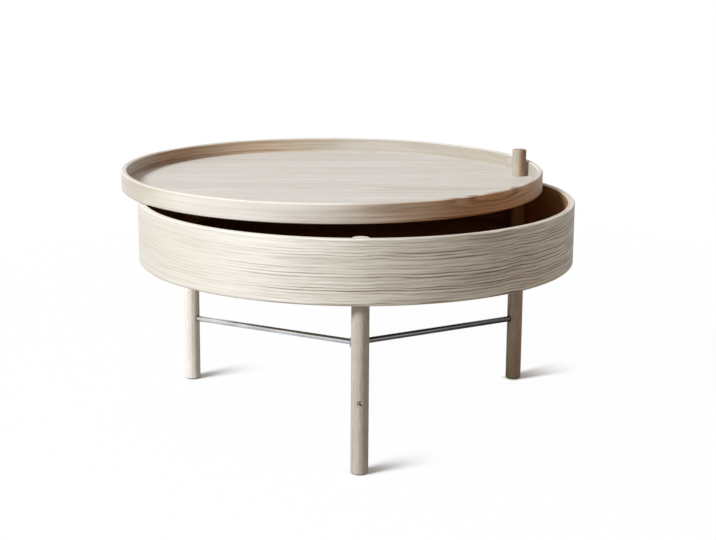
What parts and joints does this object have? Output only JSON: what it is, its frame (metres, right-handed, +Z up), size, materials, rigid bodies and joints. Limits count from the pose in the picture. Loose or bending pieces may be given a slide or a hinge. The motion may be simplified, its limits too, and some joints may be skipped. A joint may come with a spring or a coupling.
{
  "type": "swivel coffee table",
  "caption": "Round storage drum on three dowel legs with a steel rod stretcher, and a rimmed tray lid that turns about one leg, which rises through it as a post.",
  "frame": {"origin": "on the ground under the middle of the drum", "axes": "+Z up, the front leg on -Y, the pivot leg at 30 degrees from +X towards +Y"},
  "size_m": [0.6854, 0.7461, 0.3773],
  "materials": {
    "ash_hoop": "bleached ash veneer bent into a hoop, matt lacquer",
    "ash_panel": "bleached ash veneer panel, matt lacquer",
    "ash_dowel": "solid bleached ash dowel, matt lacquer",
    "polished_steel": "polished stainless steel",
    "screw_steel": "stainless steel screws",
    "felt": "dense wool felt",
    "nylon": "natural nylon"
  },
  "bodies": {
    "base": {"drum_wall": "ash_hoop", "drum_floor": "ash_panel", "front_leg": "ash_dowel", "left_leg": "ash_dowel", "pivot_leg": "ash_dowel", "front_foot_pad": "felt", "left_foot_pad": "felt", "pivot_foot_pad": "felt", "stretcher_hub": "polished_steel", "front_rod": "polished_steel", "left_rod": "polished_steel", "pivot_rod": "polished_steel", "pivot_rod_screw": "screw_steel", "left_rod_screw": "screw_steel", "front_rod_screw": "screw_steel", "pivot_grub_screw": "screw_steel", "left_grub_screw": "screw_steel", "front_grub_screw": "screw_steel", "pivot_leg_screw_1": "screw_steel", "pivot_leg_screw_2": "screw_steel", "left_leg_screw_1": "screw_steel", "left_leg_screw_2": "screw_steel", "front_leg_screw_1": "screw_steel", "front_leg_screw_2": "screw_steel", "thrust_washer": "nylon"},
    "tray": {"tray_rim": "ash_hoop", "tray_floor": "ash_panel", "tray_bush": "nylon"}
  },
  "joints": [
    {"name": "tray_swivel", "type": "hinge", "parent": "base", "child": "tray", "pos_m": [0.26197, 0.15125, 0.3288], "axis": [0, 0, 1], "continuous": true}
  ]
}
